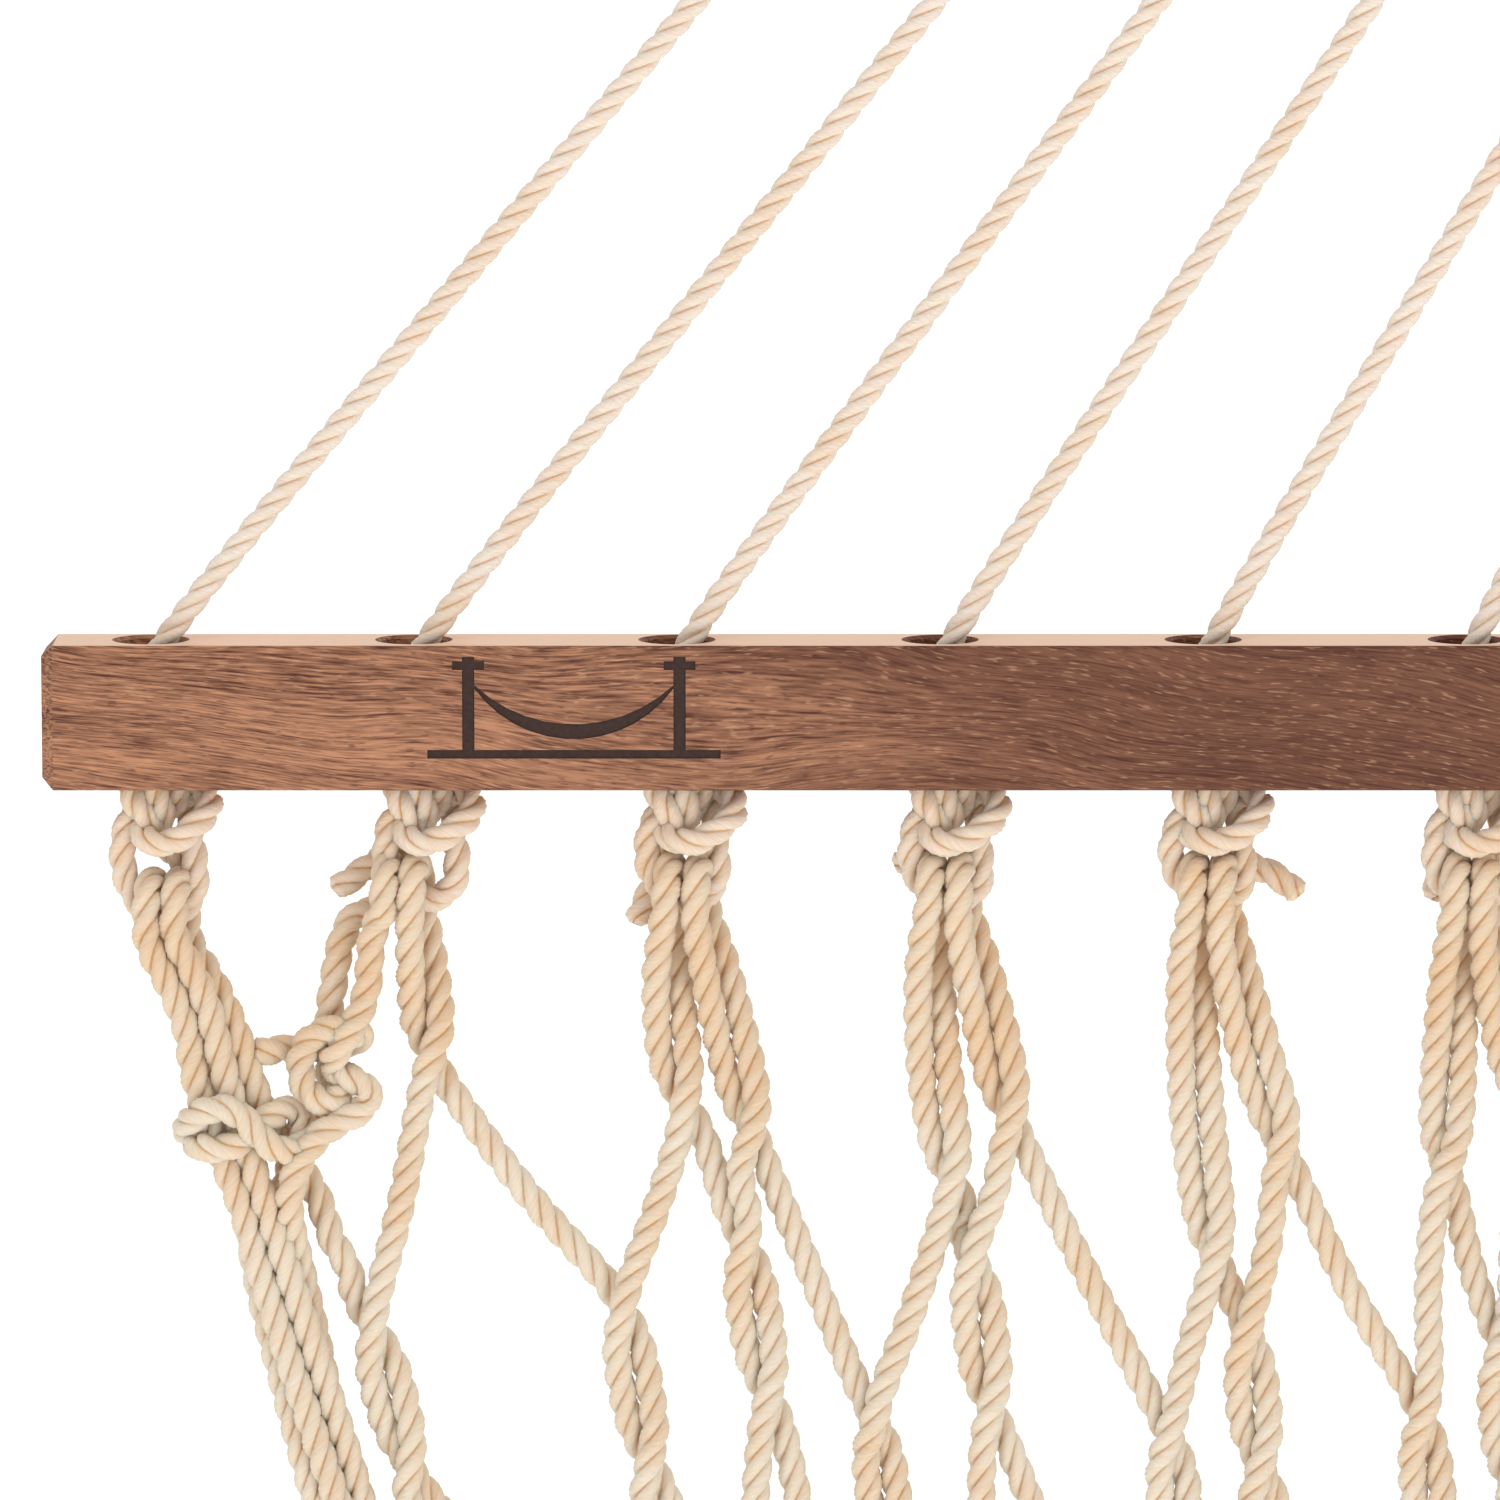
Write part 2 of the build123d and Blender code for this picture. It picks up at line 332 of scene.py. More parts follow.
def wood_material():
    """Oiled interlocked hardwood: wandering grain, short pale pores, end grain, the burned mark and a painted
    lighter top where light falls.
    """
    material, tree, shader = new_material("oiled_hardwood")
    here = tree.nodes.new("ShaderNodeTexCoord").outputs["Object"]
    x, y, z = add_node(tree, "ShaderNodeSeparateXYZ", {0: here}).outputs[:3]

    # The grain rises slowly along the bar, and wanders.
    wander = stretched_noise(tree, here, (7, 20, 14), 2.0)
    lifted = maths(tree, "ADD", z, maths(tree, "MULTIPLY", wander, 0.030))
    lifted = maths(tree, "ADD", lifted, maths(tree, "MULTIPLY", x, 0.09))
    grain_at = add_node(tree, "ShaderNodeCombineXYZ", {0: x, 1: y, 2: lifted}).outputs[0]
    bands = stretched_noise(tree, grain_at, (7, 60, 110), 2.0)
    fibres = stretched_noise(tree, grain_at, (125, 1300, 2900), 2.0)
    threads = stretched_noise(tree, grain_at, (52, 620, 1350), 2.0)
    pores = stretched_noise(tree, grain_at, (260, 1700, 2300), 1.0)
    swell = stretched_noise(tree, grain_at, (5, 12, 30), 1.0)
    grain = maths(tree, "ADD", maths(tree, "MULTIPLY", bands, 0.30), maths(tree, "MULTIPLY", fibres, 0.70))
    grain = maths(tree, "ADD", grain, maths(tree, "MULTIPLY", threads, 0.45))

    phase = maths(tree, "MULTIPLY", x, tau / HEART_LENGTH)
    phase = maths(tree, "ADD", phase, maths(tree, "MULTIPLY", swell, 3.4))
    heart = remap(tree, maths(tree, "COSINE", maths(tree, "ADD", phase, HEART_PHASE)), -1.0, 1.0)
    tone = remap(tree, grain, 0.56, 0.87, smooth=False)
    tone = maths(tree, "MULTIPLY", tone, maths(tree, "SUBTRACT", 1.0, maths(tree, "MULTIPLY", heart, 0.72)))
    colour = mix(tree, tone, opaque(sizes().wood_dark), opaque(sizes().wood_light))
    fleck = remap(tree, pores, 0.60, 0.70)
    colour = mix(tree, maths(tree, "MULTIPLY", fleck, 0.34), colour, PALE_FLECK)
    dark_pore = remap(tree, pores, 0.38, 0.30)
    colour = mix(tree, maths(tree, "MULTIPLY", dark_pore, 0.6), colour, DARK_PORE)

    normal = tree.nodes.new("ShaderNodeNewGeometry").outputs["Normal"]
    facing = add_node(tree, "ShaderNodeSeparateXYZ", {0: normal}).outputs
    dots = noise(tree, here, 1400.0, 2.0)
    end_grain = remap(tree, maths(tree, "ABSOLUTE", facing[0]), 0.75, 0.95)
    colour = mix(tree, end_grain, colour, mix(tree, dots, *END_GRAIN))
    # Painted light: faces that look up are coloured lighter, for the light falling on the top of the bar.
    painted_top_light = remap(tree, facing[2], 0.85, 0.99, 0.0, 0.84)
    colour = mix(tree, painted_top_light, colour, TOP_LIGHT_WOOD)
    colour = mix(tree, burned_mask(tree, x, y, z), colour, mix(tree, dots, *CHAR))

    rough = maths(tree, "ADD", 0.42, maths(tree, "MULTIPLY", fibres, 0.22))
    relief = maths(tree, "MULTIPLY", fibres, 0.6)
    relief = maths(tree, "SUBTRACT", relief, maths(tree, "MULTIPLY", dark_pore, 0.8))
    bump = add_node(tree, "ShaderNodeBump", {"Strength": 0.35, "Distance": 0.0002, "Height": relief})
    tree.links.new(colour, shader.inputs["Base Color"])
    tree.links.new(rough, shader.inputs["Roughness"])
    tree.links.new(bump.outputs[0], shader.inputs["Normal"])
    shader.inputs["Specular IOR Level"].default_value = 0.22
    return material


def steel_material():
    """Bright zinc on steel, slightly dulled and scuffed."""
    material, tree, shader = new_material("zinc_plate")
    here = tree.nodes.new("ShaderNodeTexCoord").outputs["Object"]
    spangle = noise(tree, here, 260.0, 4.0)
    scuffs = noise(tree, here, 1600.0, 2.0)
    colour = mix(tree, spangle, (0.46, 0.46, 0.45, 1), (0.74, 0.74, 0.72, 1))
    rough = remap(tree, spangle, 0.3, 0.7, 0.24, 0.46, smooth=False)
    bump = add_node(tree, "ShaderNodeBump", {"Strength": 0.2, "Distance": 0.0001, "Height": scuffs})
    tree.links.new(colour, shader.inputs["Base Color"])
    tree.links.new(rough, shader.inputs["Roughness"])
    tree.links.new(bump.outputs[0], shader.inputs["Normal"])
    shader.inputs["Metallic"].default_value = 0.95
    return material


# ---------------------------------------------------------------- rope making

# Across one third of the rope, from the crest of a strand to the crest of the next:
# angle in degrees, and reach as a share of the rope's radius.
FINE_STRAND = ((0, 1.04), (23, 0.99), (43, 0.85), (60, 0.55), (77, 0.85), (97, 0.99))
PLAIN_STRAND = ((0, 1.06), (60, 0.74))
# Steps of a rope's length for each turn of its strands, with the fine section and with the plain one.
FINE_STEPS, PLAIN_STEPS = 14, 6
TAPERED_ENDS = (0.6, 0.6)


def rope_section(name, strand, radius):
    curve = bpy.data.curves.new(name, "CURVE")
    curve.dimensions = "2D"
    spline = curve.splines.new("POLY")
    spline.points.add(STRANDS * len(strand) - 1)
    corners = [(third * 120 + angle, share * radius) for third in range(STRANDS) for angle, share in strand]
    for point, (degrees, reach) in zip(spline.points, corners):
        angle = radians(degrees)
        point.co = (reach * cos(angle), reach * sin(angle), 0, 1)
    spline.use_cyclic_u = True
    section = bpy.data.objects.new(name, curve)
    bpy.context.scene.collection.objects.link(section)
    return section


def drop_object(thing):
    data = thing.data
    bpy.data.objects.remove(thing)
    bpy.data.curves.remove(data)


def smooth_line(points):
    """The smooth line that a rope takes along its route, as an array of close points, in metres."""
    curve = bpy.data.curves.new("route", "CURVE")
    curve.dimensions = "3D"
    curve.resolution_u = 6
    spline = curve.splines.new("NURBS")
    spline.points.add(len(points) - 1)
    for point, place in zip(spline.points, points):
        point.co = (*place, 1)
    spline.order_u = 3
    spline.use_endpoint_u = True
    holder = bpy.data.objects.new("route", curve)
    mesh = bpy.data.meshes.new_from_object(holder)
    line = np.empty(len(mesh.vertices) * 3)
    mesh.vertices.foreach_get("co", line)
    bpy.data.meshes.remove(mesh)
    drop_object(holder)
    return line.reshape(-1, 3)


def distances(line):
    return np.concatenate(([0.0], np.cumsum(np.linalg.norm(np.diff(line, axis=0), axis=1))))


def part_of_line(line, start, end, step):
    """The stretch of a line between two distances, as evenly spaced points, with the distance of each."""
    along = distances(line)
    count = max(int(round((end - start) / step)), 2)
    at = np.linspace(start, end, count + 1)
    return np.stack([np.interp(at, along, line[:, axis]) for axis in range(3)], 1), at


def add_rope(bm, section, line, start, end, lay, steps, ends=(1.0, 1.0), swelling=None):
    """Adds the rope that follows a line from start to end to a mesh. Its strands go once round in each lay."""
    points, at = part_of_line(line, start, end, lay / steps)
    curve = bpy.data.curves.new("rope", "CURVE")
    curve.dimensions = "3D"
    curve.twist_mode = "MINIMUM"
    curve.bevel_mode = "OBJECT"
    curve.bevel_object = section
    curve.use_fill_caps = True
    spline = curve.splines.new("POLY")
    spline.points.add(len(points) - 1)
    spline.points.foreach_set("co", np.column_stack((points, np.ones(len(points)))).ravel())
    spline.points.foreach_set("tilt", at * tau / lay)
    radius = swelling(points) if swelling else np.ones(len(points))
    radius[0], radius[-1] = ends
    spline.points.foreach_set("radius", radius)
    holder = bpy.data.objects.new("rope", curve)
    bpy.context.scene.collection.objects.link(holder)
    depsgraph = bpy.context.evaluated_depsgraph_get()
    mesh = bpy.data.meshes.new_from_object(holder.evaluated_get(depsgraph), depsgraph=depsgraph)
    uv = mesh.uv_layers[0].data
    values = np.empty(len(uv) * 2)
    uv.foreach_get("uv", values)
    values[0::2] = (start + values[0::2] * (end - start)) / lay
    uv.foreach_set("uv", values)
    bm.from_mesh(mesh)
    bpy.data.meshes.remove(mesh)
    drop_object(holder)


def finish_piece(name, bm, material):
    bmesh.ops.remove_doubles(bm, verts=bm.verts, dist=0.000001)
    bmesh.ops.recalc_face_normals(bm, faces=bm.faces)
    for face in bm.faces:
        face.smooth = True
    mesh = bpy.data.meshes.new(name)
    bm.to_mesh(mesh)
    bm.free()
    mesh.materials.append(material)
    piece = bpy.data.objects.new(name, mesh)
    bpy.context.scene.collection.objects.link(piece)
    return piece


# ---------------------------------------------------------------- clew ropes

# The knot and loop under a hole: x from the hole's axis, y from the net's plane, depth below the bar,
# from the standing part coming down the hole to the tail.
KNOT = (
    (3.4, 1.2, -14), (4.2, 1.4, -4), (5.4, 2.4, 2.0), (4.0, 3.8, 6.6), (-0.6, 2.6, 5.4),
    (-4.4, -0.6, 6.6), (-6.4, -0.4, 12.5), (-5.6, 0.4, 18.6), (-1.8, 1.0, 23.6), (3.8, 1.2, 24.8),
    (8.4, 1.0, 21.5), (8.6, 1.0, 15.5), (7.8, 2.4, 10.5), (8.0, 4.8, 5.5), (9.2, 4.2, 1.8),
    (11.8, 1.0, 2.4), (12.0, -2.6, 5.6), (9.0, -5.4, 8.4), (4.6, -6.6, 11.4), (-0.4, -5.8, 11.2),
    (-3.0, -1.0, 9.4), (-1.5, 2.4, 8.0), (2.6, 0.0, 7.4), (1.6, -2.0, 3.6), (-0.4, -1.8, -2.5),
    (-2.4, -1.6, -6.0), (-4.6, -1.6, -2.0), (-3.8, -2.6, 2.4), (-1.2, -3.2, 6.0), (0.6, 0.5, 9.0),
    (1.0, 4.0, 10.5),
)
KNOT_SWELL = 1.12
# Below this depth the loops of the outermost holes are longer, by this much at their lowest.
LOOP_TOP = 11
CORNER_LOOP_DROP = 3.4
# The outermost legs are pulled tauter than the others: their share of the sag.
TAUT_CORNER = 0.25
# How far apart the doubled ropes lie on the ring, in degrees, and their distance from its wire's middle.
RING_SPREAD = 9.33
OVER_RING = 7.4
BESIDE_RING = 7.6
NEAR_CLEWS = 3
TAILS = {
    2: ((-1.0, 6.6, 12.0), (-8.0, 7.0, 17.0), (-15.4, 6.4, 22.0), (-16.8, 6.2, 23.4)),
    3: ((-1.5, 6.6, 15.0), (-5.0, 7.0, 22.0), (-7.8, 6.6, 28.0), (-8.6, 6.4, 30.2)),
    5: ((3.0, 6.8, 12.0), (8.0, 7.2, 17.0), (15.0, 7.0, 19.5), (19.5, 6.8, 23.0), (20.5, 6.6, 24.4)),
    6: ((-1.0, 6.6, 14.0), (-4.5, 7.0, 21.0), (-6.4, 6.6, 25.0)),
}


def hole_x(number):
    return (number - 1) * PITCH - HALF_SPAN


def place(points, link_z, way):
    """Points of (x, y, height above the link line towards the ring), as places in metres."""
    return [(x * MM, y * MM, link_z + way * height * MM) for x, y, height in points]


def tail_points(number, end_name, chance):
    if end_name == "head" and number in TAILS:
        return TAILS[number]
    side = chance.choice((-1, 1))
    reach = chance.uniform(5, 13)
    return ((side * 1.5, 6.6, 12.0), (side * 4.0, 7.2, 16.0), (side * reach, 7.0, 18.0 + chance.uniform(0, 6)))


def knotted_leg(number, end_name, chance):
    """One end of a clew rope, from the top of its hole down to the tail."""
    x = hole_x(number)
    towards_middle = -1 if x > 0 else 1
    longer = CORNER_LOOP_DROP if number in (1, HOLES) else 0
    lowest = max(drop for dx, dy, drop in KNOT)
    down = []
    for dx, dy, drop in KNOT:
        drop += longer * max(0, (drop - LOOP_TOP) / (lowest - LOOP_TOP))
        down.append((dx + chance.uniform(-0.35, 0.35), dy, drop + chance.uniform(-0.35, 0.35)))
    down += tail_points(number, end_name, chance)
    knot = [(x + dx, dy, BAR_INNER - drop) for dx, dy, drop in down]
    rim = [(x + towards_middle * 0.6, 0.4, BAR_OUTER - 7.0), (x + towards_middle * 1.0, 0.0, BAR_OUTER - 0.6)]
    return rim[::-1] + knot


def clew_leg(foot, wrap, sag):
    """Points along the leg from the bar up to the ring, drooping a little under its own weight."""
    count = 8
    steps = [share / count for share in range(1, count)]
    return [
        tuple(foot[i] + (wrap[i] - foot[i]) * t - (sag * 4 * t * (1 - t) if i == 2 else 0) for i in range(3))
        for t in steps
    ]


def clew_route(number, end_name, way, chance):
    holes = (2 * number - 1, 2 * number)
    angle = radians((number - (CLEWS + 1) / 2) * RING_SPREAD)
    inner = RING_MEAN - OVER_RING
    wrap_x, wrap_height = inner * sin(angle), RING_CENTRE - inner * cos(angle)
    over = [(wrap_x, -BESIDE_RING, wrap_height), (wrap_x, BESIDE_RING, wrap_height)]
    ends = [knotted_leg(hole, end_name, chance) for hole in holes]
    legs = []
    for leg, turn in zip(ends, over):
        lean = abs(turn[0] - leg[0][0]) / (HALF_SPAN * 1.1)
        if abs(leg[0][0]) > HALF_SPAN - PITCH / 2:
            lean *= TAUT_CORNER
        legs.append(clew_leg(leg[0], turn, way * sizes().clew_sag / MM * lean))
    return ends[0][::-1] + legs[0] + over + legs[1][::-1] + ends[1]


def clew_ropes():
    chance = Random(sizes().seed)
    material = rope_material("clew_cotton", sizes().clew_light, 0.6)
    fine = rope_section("fine", FINE_STRAND, sizes().clew_rope / 2)
    plain = rope_section("plain", PLAIN_STRAND, sizes().clew_rope / 2)
    for end_name, link_z, way in (("head", HEAD_LINK_Z, 1), ("foot", FOOT_LINK_Z, -1)):
        for number in range(1, CLEWS + 1):
            near = end_name == "head" and number <= NEAR_CLEWS
            line = smooth_line(place(clew_route(number, end_name, way, chance), link_z, way))

            def slack_in_knot(points, link_z=link_z, way=way):
                """The rope opens a little where it isn't pulled tight, under its hole."""
                height = (points[:, 2] - link_z) * way / MM
                return np.interp(height, (BAR_INNER - 2, BAR_INNER + 3), (KNOT_SWELL, 1.0))

            length = distances(line)[-1]
            bm = bmesh.new()
            add_rope(
                bm, fine if near else plain, line, 0, length, sizes().clew_lay,
                FINE_STEPS if near else PLAIN_STEPS, ends=TAPERED_ENDS, swelling=slack_in_knot,
            )
            piece = finish_piece(f"{end_name}_rope_{number:02d}", bm, material)
            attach(piece, f"{end_name}_harness")
            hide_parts(f"{end_name}_clew_{number:02d}")
    drop_object(fine)
    drop_object(plain)


# ---------------------------------------------------------------- net

# Depths at which the first crossings of the middle of the net hang, where they are not left to chance.
FIRST_BOTTOM = {5: 33.0, 7: 43.0, 9: 48.5, 11: 59.0, 13: 46.0, 15: 75.0, 17: 52.0, 19: 56.0}
SECOND_TOP = {4: 90.0, 6: 86.0, 8: 72.0, 10: 109.0, 12: 75.0, 14: 112.0, 16: 90.0, 18: 108.0, 20: 93.0}
SECOND_SHIFT = {8: 2.0, 10: -2.0, 12: -3.0, 14: 7.5, 18: 8.5}
# Length of a crossing, and the middle of the second row's crossings.
LENS = 31.0
SECOND_MIDDLE = 108.0
FIRST_SHIFT = {5: 3.5, 9: 9.0, 13: 9.0, 19: -1.5}
# Where on their loop the left (-1) and right (1) bights hang, and the holes where they hang elsewhere.
USUAL_HANG = {-1: -1.4, 1: 4.6}
HANGS = {
    (1, -1): -0.2, (1, 1): 5.4, (2, -1): -5.4, (2, 1): 0.2,
    (25, -1): -0.2, (25, 1): 5.4, (26, -1): -5.4, (26, 1): 0.2,
}
# The outermost column where the net has crossings: a selvedge takes what is beyond it.
EDGE_COLUMN = 4
# The first stretch of each net rope, down to this depth, is a piece of its own.
SPLIT_DEPTH = 185.0
# Points of a bight: x, y and how far above the link line.
BIGHT = ((-1.2, -6.0, -3.0), (-0.5, -5.8, 7.2), (0.5, 5.8, 7.2), (1.2, 6.0, -3.0))


def lane_x(start_x, depth):
    """Where a line of the net that starts at start_x lies at a depth: an arc drawn in at the waist."""
    inset = abs(start_x) * (WAIST_SHARE + EDGE_WAIST_SHARE * (abs(start_x) / HALF_SPAN) ** EDGE_WAIST_POWER)
    if inset < 0.001:
        return start_x
    half = BED_LENGTH / 2
    radius = (half**2 + inset**2) / (2 * inset)
    drawn_in = sqrt(radius**2 - (min(max(depth, 0), BED_LENGTH) - half) ** 2) - (radius - inset)
    return start_x - drawn_in if start_x > 0 else start_x + drawn_in


def column_x(column, depth):
    """Where a column of crossings lies. Columns are counted in quarter pitches from the first hole."""
    x = lane_x(column * QUARTER - HALF_SPAN, depth)
    for side, outermost in ((-1, EDGE_COLUMN), (1, 4 * (HOLES - 1) - EDGE_COLUMN)):
        if column == outermost:
            edge = lane_x(side * HALF_SPAN, depth)
            return edge - side * max(20.5, 0.4 * abs(x - edge))
    return x


def hang_x(hole, side):
    """Where the left (-1) or right (1) bight of a hole hangs on its loop."""
    return hole_x(hole) + HANGS.get((hole, side), USUAL_HANG[side])


def first_x(hole, side, depth):
    """Where the first crossing below a bight lies at a depth."""
    drift = lane_x(hole_x(hole), depth) - hole_x(hole)
    shift = FIRST_SHIFT.get(4 * (hole - 1) + side, side * 4.5 + drift)
    return hang_x(hole, side) + shift * min(depth / 40, 1.2)


def crossing(row, column, seed):
    """Top and bottom depth of the crossing at a row and a column."""
    if row > ROWS / 2:
        top, bottom = crossing(ROWS - row, column + 1000, seed)
        return BED_LENGTH - bottom, BED_LENGTH - top
    chance = Random(seed * 100003 + row * 1009 + column)
    if row == 0:
        return 0.0, FIRST_BOTTOM.get(column, 51.0 + chance.uniform(-9, 12))
    length = LENS + chance.uniform(-2, 3)
    if row == 1:
        usual = (79.0 if column % 4 == 0 else 106.0) + chance.uniform(-5, 6)
        top = SECOND_TOP.get(column, usual)
        return top, top + length
    spacing = (BED_LENGTH - 2 * SECOND_MIDDLE) / (ROWS - 2)
    uneven = 0.0
    if row % 2:
        uneven = 13.5 * 0.4 ** ((row - 1) / 2) * (-1 if column % 4 == 0 else 1)
    middle = SECOND_MIDDLE + spacing * (row - 1) + uneven + chance.uniform(-3, 3)
    return middle - length / 2, middle + length / 2


def through_crossing(row, column, role, seed):
    """The route of one rope through a crossing. Role 1 comes from the right, passes in front, round the left
    and out behind; role -1 is the other rope, half a turn on."""
    top, bottom = crossing(row, column, seed)
    chance = Random(seed * 7919 + row * 677 + column)
    shift = SECOND_SHIFT.get(column, 0) if row == 1 else chance.uniform(-1.3, 1.3)
    route = ((2.4, -2.2, top - 6), (0.2, -3.2, top), (-2.8, -1.9, top + 7),
             (-3.05, 0, (top + bottom) / 2),
             (-2.8, 1.9, bottom - 7), (0.2, 3.2, bottom), (2.4, 2.2, bottom + 6))
    hole, side = (column + 5) // 4, -1 if column % 4 == 3 else 1
    if row == 0:
        route = ((-2.4, -3.6, 13), (-3.0, 0, (13 + bottom) / 2), (-2.8, 1.9, bottom - 6), (0.2, 3.2, bottom),
                 (2.4, 2.2, bottom + 6))
        return [(first_x(hole, side, depth) + role * dx, role * dy, depth) for dx, dy, depth in route]
    if row == ROWS:
        route = ((2.4, -2.2, top - 6), (0.2, -3.2, top), (-2.8, -1.9, top + 6),
                 (-3.0, 0, (top + BED_LENGTH - 13) / 2), (-2.4, 3.6, BED_LENGTH - 13))
        return [
            (first_x(hole, side, BED_LENGTH - depth) + role * dx, role * dy, depth)
            for dx, dy, depth in route
        ]
    return [(column_x(column, depth) + shift + role * dx, role * dy, depth) for dx, dy, depth in route]


def net_strand(lane, seed):
    """One rope of the net down its lane, from just under the head loop to just above the foot loop.
    A lane lies between two columns, and the rope takes a crossing in each in turn."""
    route = []
    for row in range(ROWS + 1):
        column = lane if (lane + row) % 2 else lane + 1
        role = 1 if column == lane else -1
        part = through_crossing(row, column, role, seed)
        if route:
            chance = Random(seed * 31 + row * 101 + lane)
            before, after = route[-1], part[0]
            middle = [(before[i] + after[i]) / 2 for i in range(3)]
            middle[0] += chance.uniform(-1.2, 1.2)
            middle[2] += abs(before[0] - after[0]) * 0.10
            route.append(tuple(middle))
        route += part
    return route


def bight(x, depth, way, front):
    """The turn over the wire of a loop, from the front to the back or the other way."""
    return [(x + dx, front * dy, depth - way * rise) for dx, dy, rise in BIGHT]


def net_loop(hole, side, seed):
    """A rope that hangs as a bight in one head loop and one foot loop: two strands of the net and both turns.
    It starts and ends on the strand that leads away from the bight on the front, below the split."""
    column = 4 * (hole - 1) + side
    right, left = net_strand(column, seed), net_strand(column - 1, seed)
    cut = next(i for i, point in enumerate(right) if point[2] > SPLIT_DEPTH)
    head = bight(hang_x(hole, side), 0, 1, 1)
    foot = bight(hang_x(hole, side), BED_LENGTH, -1, -1)[::-1]
    return right[cut::-1] + head + left + foot + right[: cut - 1 : -1]


def net_place(points):
    return [(x * MM, y * MM, HEAD_LINK_Z - depth * MM) for x, y, depth in points]


def split_distance(line):
    """How far along a loop of rope its second strand passes the split depth."""
    low = HEAD_LINK_Z - SPLIT_DEPTH * MM
    along = distances(line)
    top = int(np.argmax(line[:, 2]))
    below = next(i for i in range(top, len(line)) if line[i, 2] < low)
    return along[below]


def add_loop(top_bm, long_bm, sections, points, near):
    line = smooth_line(net_place(points))
    lay = sizes().net_lay * Random(int(abs(line[0, 0]) * 1e5)).uniform(0.93, 1.10)
    cut, length = split_distance(line), distances(line)[-1]
    fine, plain = sections
    add_rope(top_bm, fine if near else plain, line, 0, cut, lay, FINE_STEPS if near else PLAIN_STEPS)
    add_rope(long_bm, plain, line, cut, length, lay, PLAIN_STEPS)


def finish_net(name, top_bm, long_bm, material, nodes):
    top = finish_piece(f"{name}_top", top_bm, material)
    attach(top, "net_upper")
    piece = finish_piece(name, long_bm, material)
    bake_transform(piece)
    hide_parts(*nodes)


def net_sections():
    radius = sizes().net_rope / 2
    return rope_section("fine", FINE_STRAND, radius), rope_section("plain", PLAIN_STRAND, radius)


def net_lanes():
    material = rope_material("net_cotton", sizes().rope_light, 1.0)
    sections = net_sections()
    seed = sizes().seed
    for number in range(1, CLEWS + 1):
        top_bm, long_bm = bmesh.new(), bmesh.new()
        for hole in (2 * number - 1, 2 * number):
            for side in (-1, 1):
                at_edge = hole in (1, HOLES) or (hole, side) in ((2, -1), (HOLES - 1, 1))
                if not at_edge:
                    add_loop(top_bm, long_bm, sections, net_loop(hole, side, seed), number <= NEAR_CLEWS)
        nodes = [f"net_lane_{number:02d}_{half}" for half in ("upper", "lower")]
        finish_net(f"net_{number:02d}", top_bm, long_bm, material, nodes)
    for section in sections:
        drop_object(section)


# ---------------------------------------------------------------- selvedges

# Ropes at the left head corner: x from the first hole, y through the net, depth below the loops.
# Two bights of the first hole and the outer bight of the second, each as its front leg and its rear leg.
CORNER = (
    ((0.2, -5.6, 11), (2.4, -5.0, 15), (4.8, -4.8, 20), (7.3, -4.6, 27), (8.0, -4.6, 34), (9.6, -4.0, 41),
     (12.2, -3.8, 48), (15.0, -4.2, 56), (18.2, -4.4, 64)),
    ((0.6, 5.2, 11), (2.8, 4.2, 17), (6.4, 2.4, 24), (9.6, 2.2, 34), (12.0, 3.2, 44), (15.4, 3.8, 54),
     (18.6, 4.6, 64)),
    ((6.8, -5.6, 11), (8.8, -5.2, 15), (11.7, -5.0, 22), (13.9, -5.2, 32), (15.8, -4.4, 40), (18.2, -4.0, 48),
     (21.0, -4.6, 57), (24.0, -4.6, 66)),
    ((7.6, 5.0, 11), (11.0, 2.4, 15), (15.4, -1.0, 23), (18.4, -2.2, 31), (20.6, -1.4, 39), (23.4, 1.0, 47),
     (28.4, 3.2, 55), (32.8, 3.4, 61), (35.0, 2.6, 67), (36.4, 1.6, 72), (40.0, 0.4, 77)),
    ((46.4, -5.6, 3), (44.8, -5.2, 9), (44.6, -4.8, 16), (43.2, -5.0, 22), (40.4, -6.6, 27), (37.6, -6.4, 31.0),
     (36.4, -1.8, 34.0), (39.0, -3.2, 36.2), (43.4, -4.2, 37.6), (45.0, -4.0, 41.4), (41.6, -4.8, 44.2),
     (37.0, -5.4, 46.2), (32.4, -6.2, 50), (28.9, -7.0, 56), (27.4, -5.6, 64)),
    ((45.0, 5.4, 3), (40.8, 4.4, 4), (38.2, 2.8, 10), (37.0, 2.0, 18), (35.8, 1.2, 25), (36.0, 3.4, 33),
     (35.8, 5.0, 42), (31.5, 6.2, 49), (27.4, 6.2, 56), (26.0, 5.2, 64)),
)
# The knot round the four legs of the first hole, and the one round the legs of the second with its tail.
BUNDLE_KNOT = (
    (20.0, 3.0, 47), (13.0, 6.6, 49), (6.8, 4.0, 49.5), (6.4, -3.0, 47.5), (8.6, -7.8, 43.8),
    (13.0, -10.2, 41.5), (18.0, -10.0, 42.8), (21.4, -9.6, 47.4), (25.0, -8.8, 50.8), (29.4, -5.8, 52.0),
    (31.6, -1.0, 48.5), (28.8, 1.0, 43.8), (24.4, -4.4, 44.0), (19.6, -7.0, 48.4), (15.0, -8.2, 50.8),
    (10.6, -7.8, 50.6), (8.2, -2.6, 50.4), (10.0, 4.0, 53.0), (20.0, 4.0, 51),
)
LEG_KNOT = (
    (20.4, -0.6, 32.0), (24.0, -0.6, 31.4), (29.0, 2.5, 31.6), (36.5, 5.0, 31.6), (42.4, 2.6, 30.0),
    (42.6, -3.6, 27.0), (37.6, -5.8, 25.8), (32.4, -5.4, 27.4), (29.8, -3.8, 33.4), (31.2, -4.2, 39.6),
    (35.4, -4.4, 42.2), (39.4, -2.4, 40.6), (38.4, 2.4, 37.0),
)
